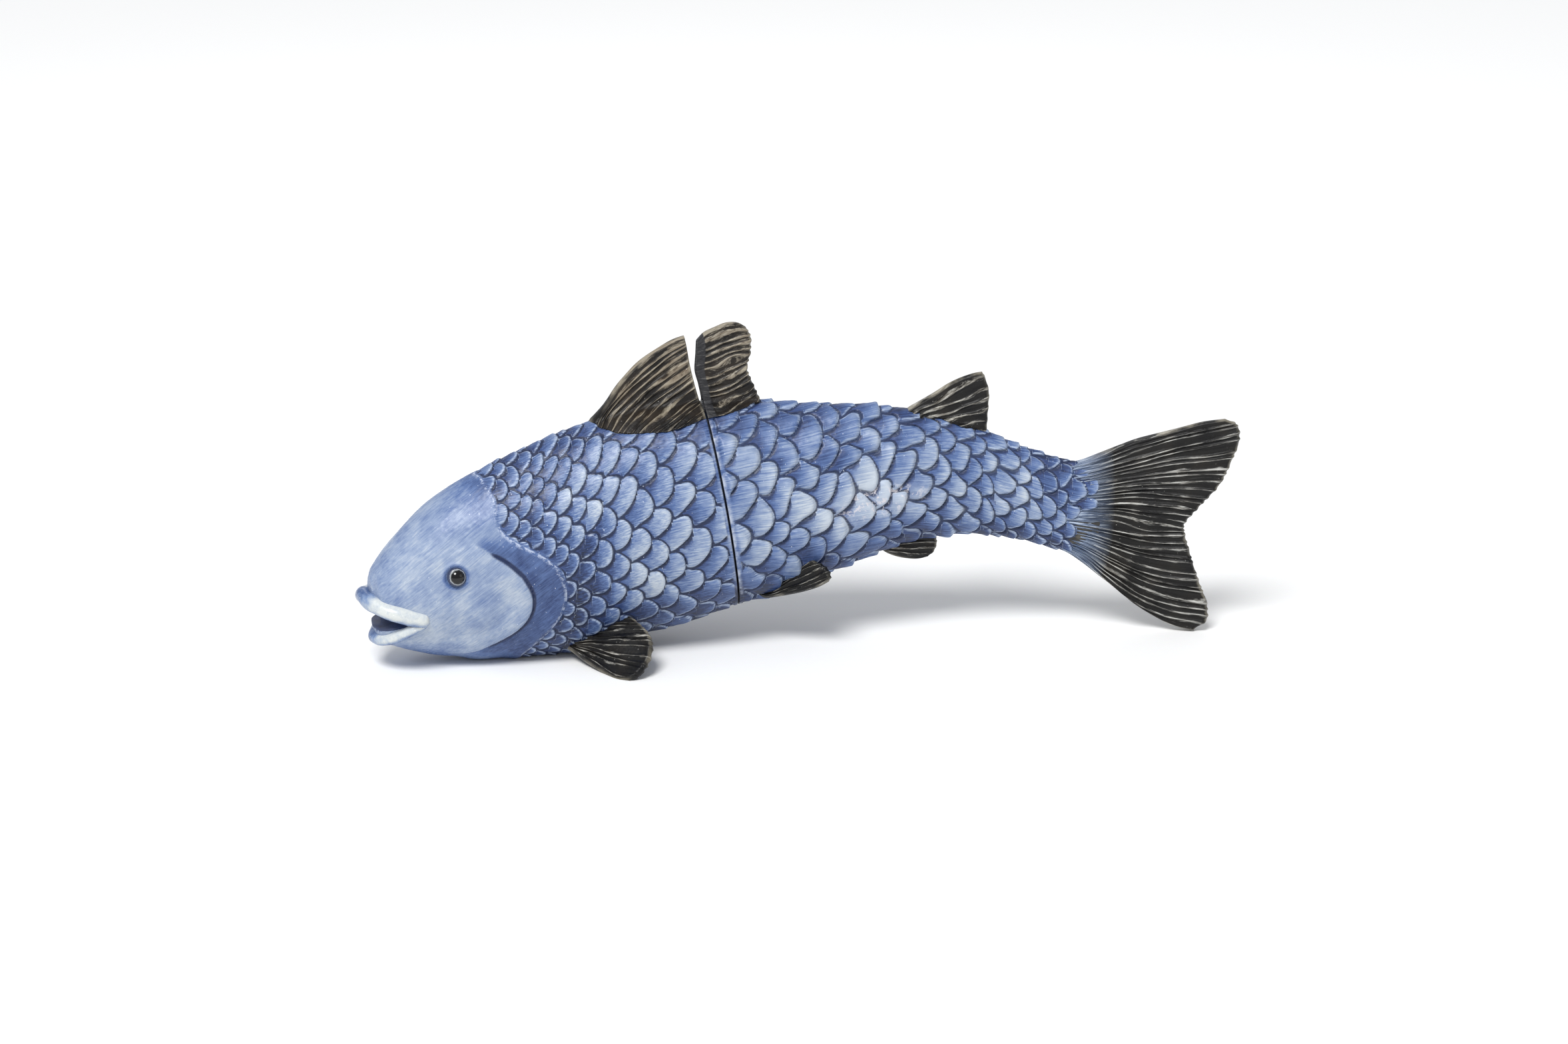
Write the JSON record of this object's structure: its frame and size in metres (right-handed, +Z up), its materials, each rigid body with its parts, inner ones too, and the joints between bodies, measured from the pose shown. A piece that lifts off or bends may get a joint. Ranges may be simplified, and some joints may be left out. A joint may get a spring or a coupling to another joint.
{
  "type": "carp figure",
  "caption": "Hollow painted cast carp figure on a flat belly, split across the dorsal fin into two halves; the rear half pulls off an internal oval neck.",
  "frame": {"origin": "centre of the bounding box at table level, under the fish", "axes": "+X from head to tail, -Y towards the fish's left flank, +Z up"},
  "size_m": [0.4716, 0.1222, 0.1769],
  "materials": {
    "front_blue": "hand painted, satin varnish",
    "rear_blue": "hand painted, satin varnish",
    "neck": "dark wash, matte",
    "lip": "cream paint, satin varnish",
    "eye": "black glass bead",
    "dorsal": "dry brushed brown black, satin varnish",
    "fin": "dry brushed black, satin varnish",
    "tail": "dry brushed black, satin varnish"
  },
  "bodies": {
    "front_half": {"front_shell": "front_blue", "neck_ring": "neck", "upper_lip": "lip", "lower_lip": "lip", "eye_left": "eye", "eye_right": "eye", "dorsal_fin_front": "dorsal", "pectoral_fin_left": "fin", "pectoral_fin_right": "fin"},
    "rear_half": {"rear_shell": "rear_blue", "dorsal_fin_rear": "dorsal", "adipose_fin": "dorsal", "pelvic_fin_left": "fin", "pelvic_fin_right": "fin", "anal_fin": "fin", "tail_fin": "tail"}
  },
  "joints": [
    {"name": "rear_half_slide", "type": "slide", "parent": "front_half", "child": "rear_half", "axis": [0.9869, -0.0387, 0.1564], "range_m": [0, 0.06]}
  ]
}
